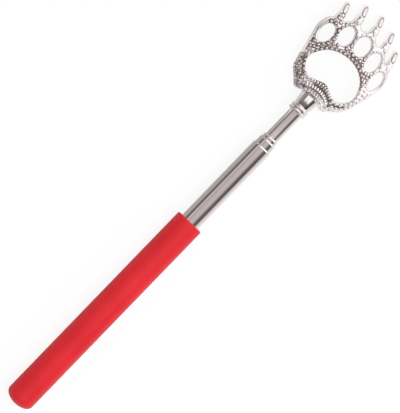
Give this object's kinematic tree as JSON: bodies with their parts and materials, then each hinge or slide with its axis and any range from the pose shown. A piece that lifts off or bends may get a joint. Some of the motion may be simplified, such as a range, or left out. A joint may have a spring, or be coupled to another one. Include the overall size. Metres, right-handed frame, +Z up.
{
  "type": "telescopic back scratcher",
  "caption": "Pocket back scratcher: a soft-gripped handle, nested steel tubes that pull out on friction springs, and an openwork cast bear-paw head with curved claws on a turned swivelling neck.",
  "frame": {"origin": "middle of the bounding box on the resting plane, as the part lies on the grip and the claw tips", "axes": "+X along the rod from the grip's closed end to the claws, +Z up out of the paw's domed back"},
  "size_m": [0.2381, 0.0418, 0.0136],
  "materials": {
    "grip": "satin red synthetic rubber",
    "tube": "polished stainless steel with fine lengthwise drawing lines",
    "bush": "turned brass",
    "spring": "rolled bronze strip",
    "neck": "bright plated turning",
    "paw": "bright plated casting, darkened between its beads"
  },
  "bodies": {
    "handle": {"grip_sleeve": "grip", "handle_tube": "tube", "handle_plug": "bush"},
    "second_section": {"second_tube": "tube", "second_foot_bush": "bush", "second_friction_springs": "spring"},
    "third_section": {"third_tube": "tube", "third_foot_bush": "bush", "third_friction_springs": "spring"},
    "inner_carriage": {"inner_friction_springs": "spring"},
    "inner_section": {"inner_tube": "tube", "inner_foot_bush": "bush", "neck_ferrule": "neck", "paw_head": "paw"}
  },
  "joints": [
    {"name": "second_slide", "type": "slide", "parent": "handle", "child": "second_section", "axis": [1, 0, 0], "range_m": [0, 0.134]},
    {"name": "third_slide", "type": "slide", "parent": "second_section", "child": "third_section", "axis": [1, 0, 0], "range_m": [0, 0.1315]},
    {"name": "inner_slide", "type": "slide", "parent": "third_section", "child": "inner_carriage", "axis": [1, 0, 0], "range_m": [-0.015, 0.112]},
    {"name": "head_swivel", "type": "hinge", "parent": "inner_carriage", "child": "inner_section", "pos_m": [0, 0, 0.0068], "axis": [1, 0, 0], "continuous": true}
  ]
}
